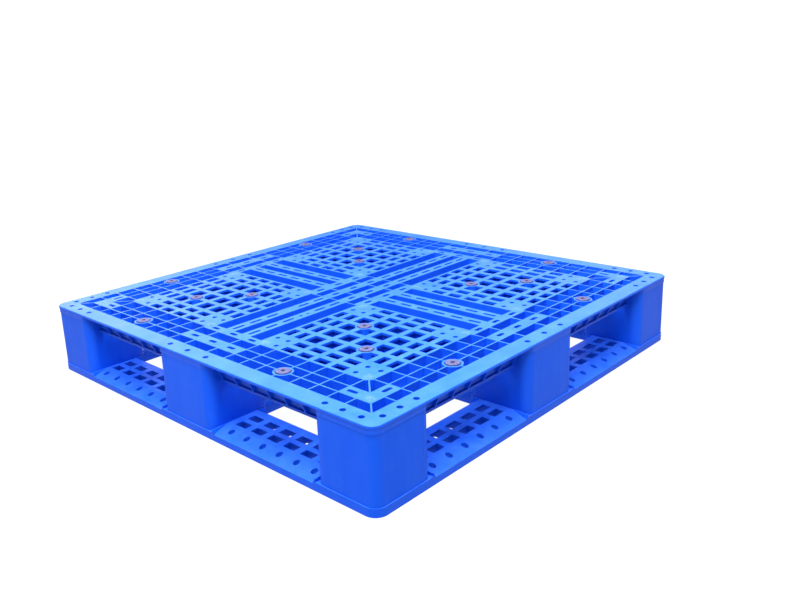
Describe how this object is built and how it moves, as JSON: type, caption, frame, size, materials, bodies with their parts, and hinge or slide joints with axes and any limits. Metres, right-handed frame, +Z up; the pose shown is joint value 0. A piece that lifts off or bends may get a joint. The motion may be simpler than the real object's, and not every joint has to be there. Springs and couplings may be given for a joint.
{
  "type": "plastic pallet",
  "caption": "Square four-way plastic pallet: grid deck with anti-slip plugs on hollow legs over a bottom frame with windows.",
  "frame": {"origin": "on the floor under the middle of the pallet", "axes": "+Z up; X and Y along the sides; the steel tubes run along X"},
  "size_m": [1, 1, 0.157],
  "materials": {
    "deck_plastic": "satin moulded polyethylene, blue",
    "leg_plastic": "satin moulded polyethylene, blue",
    "frame_plastic": "satin moulded polyethylene, blue",
    "plug_rubber": "matt soft rubber, mauve",
    "tube_steel": "galvanised"
  },
  "bodies": {
    "root": {"top_deck": "deck_plastic", "bottom_frame": "frame_plastic", "corner_leg_front_left": "leg_plastic", "corner_leg_front_right": "leg_plastic", "corner_leg_back_left": "leg_plastic", "corner_leg_back_right": "leg_plastic", "side_leg_front": "leg_plastic", "side_leg_back": "leg_plastic", "side_leg_left": "leg_plastic", "side_leg_right": "leg_plastic", "centre_leg": "leg_plastic", "anti_slip_plug_01": "plug_rubber", "anti_slip_plug_02": "plug_rubber", "anti_slip_plug_03": "plug_rubber", "anti_slip_plug_04": "plug_rubber", "anti_slip_plug_05": "plug_rubber", "anti_slip_plug_06": "plug_rubber", "anti_slip_plug_07": "plug_rubber", "anti_slip_plug_08": "plug_rubber", "anti_slip_plug_09": "plug_rubber", "anti_slip_plug_10": "plug_rubber", "anti_slip_plug_11": "plug_rubber", "anti_slip_plug_12": "plug_rubber", "anti_slip_plug_13": "plug_rubber", "anti_slip_plug_14": "plug_rubber", "anti_slip_plug_15": "plug_rubber", "anti_slip_plug_16": "plug_rubber", "steel_tube_front": "tube_steel", "steel_tube_mid_front": "tube_steel", "steel_tube_mid_back": "tube_steel", "steel_tube_back": "tube_steel"}
  },
  "joints": []
}
